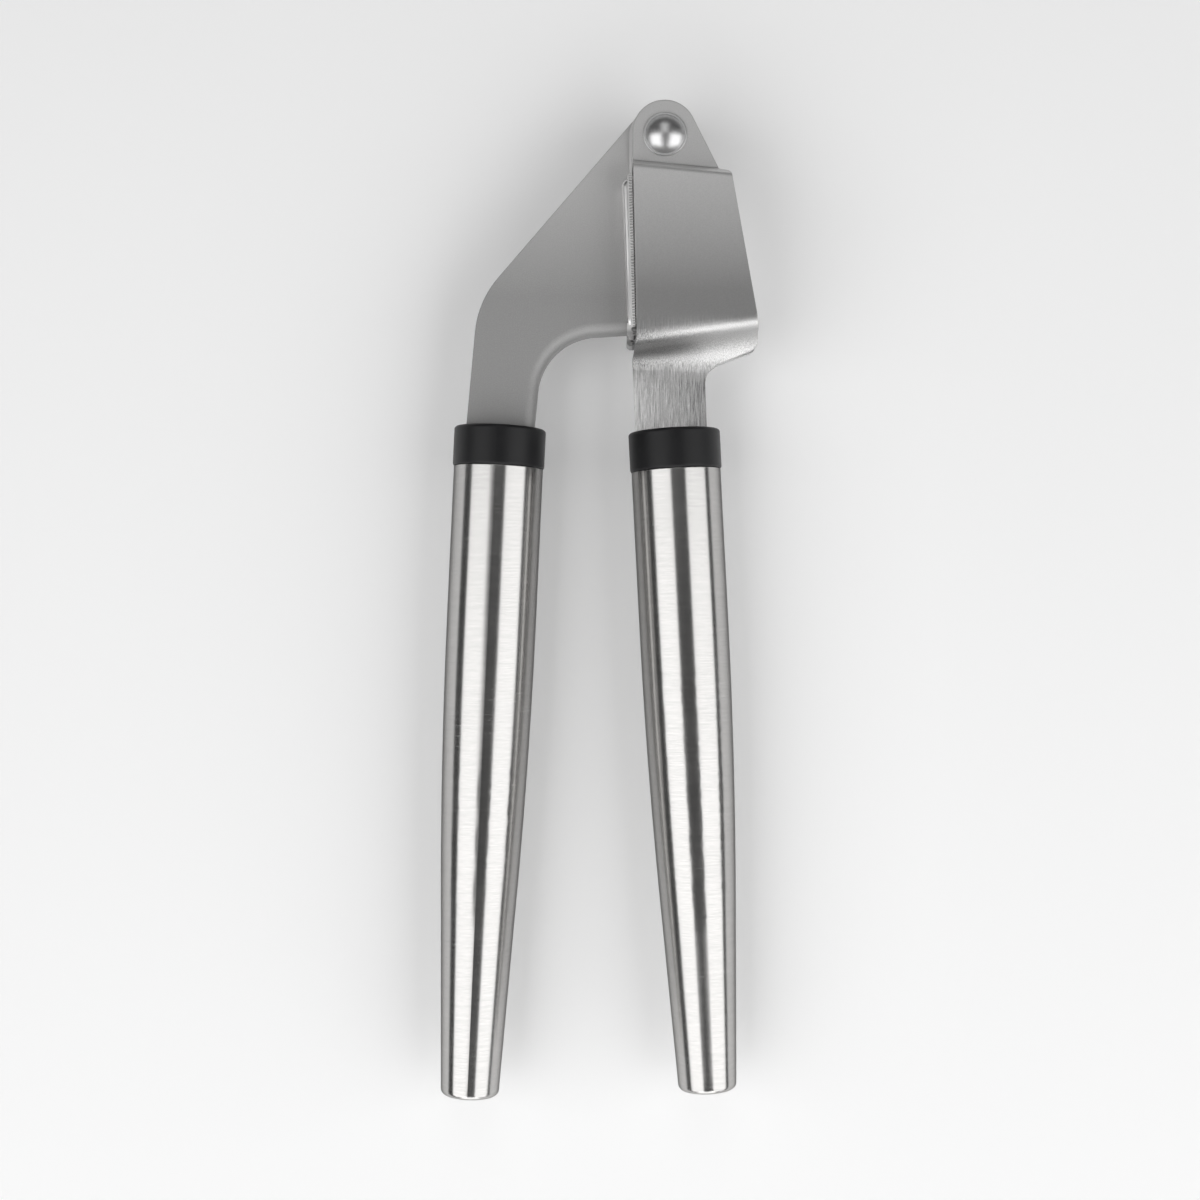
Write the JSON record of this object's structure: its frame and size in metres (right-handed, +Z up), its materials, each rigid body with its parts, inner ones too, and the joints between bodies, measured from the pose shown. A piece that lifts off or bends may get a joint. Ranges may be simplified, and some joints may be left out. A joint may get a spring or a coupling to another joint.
{
  "type": "garlic press",
  "caption": "Two-handled stainless garlic press: hopper arm, swing-out basket with perforated plate, and folded plunger arm on one hinge rivet.",
  "frame": {"origin": "centre of the bounding box in plan, on the plane of the rear hopper wall that the press lies on", "axes": "+Z up, along the hinge axis; +Y from the handle ends towards the hinge; +X towards the hopper's outlet side"},
  "size_m": [0.06, 0.1874, 0.022],
  "materials": {
    "satin_sheet": "satin blasted with vertical brushing on the tang",
    "arm_sheet": "satin",
    "plunger_sheet": "satin, brighter folds",
    "basket_sheet": "satin with sheared edges",
    "sieve_sheet": "perforated, satin",
    "polished_rivet": "polished",
    "shim": "plain",
    "bushing": "turned",
    "cross_rivet": "ground flush",
    "brushed_tube": "fine brushing around the tube",
    "end_disc": "brushed",
    "black_plastic": "satin black, moulded",
    "core_plastic": "moulded filler",
    "pin_steel": "plain"
  },
  "bodies": {
    "hopper_arm": {"hopper_plate_front": "satin_sheet", "hopper_plate_rear": "satin_sheet", "hinge_rivet": "polished_rivet", "hinge_washer_front": "shim", "hinge_washer_rear": "shim", "right_collar": "black_plastic", "right_handle_tube": "brushed_tube", "right_end_cap": "end_disc", "right_tang_core": "core_plastic", "right_tang_pin": "pin_steel"},
    "basket": {"basket_frame": "basket_sheet", "sieve_plate": "sieve_sheet"},
    "plunger_arm_body": {"plunger_arm": "arm_sheet", "plunger_box": "plunger_sheet", "plunger_rivets": "cross_rivet", "hinge_bushing": "bushing", "left_collar": "black_plastic", "left_handle_tube": "brushed_tube", "left_end_cap": "end_disc", "left_tang_core": "core_plastic", "left_tang_pin": "pin_steel"}
  },
  "joints": [
    {"name": "basket_swing", "type": "hinge", "parent": "hopper_arm", "child": "basket", "pos_m": [0.01249, 0.08723, 0.011], "axis": [0, 0, -1], "range_deg": [0, 80]},
    {"name": "plunger_hinge", "type": "hinge", "parent": "basket", "child": "plunger_arm_body", "pos_m": [0.01249, 0.08723, 0.011], "axis": [0, 0, -1], "range_deg": [-10, 110]}
  ]
}
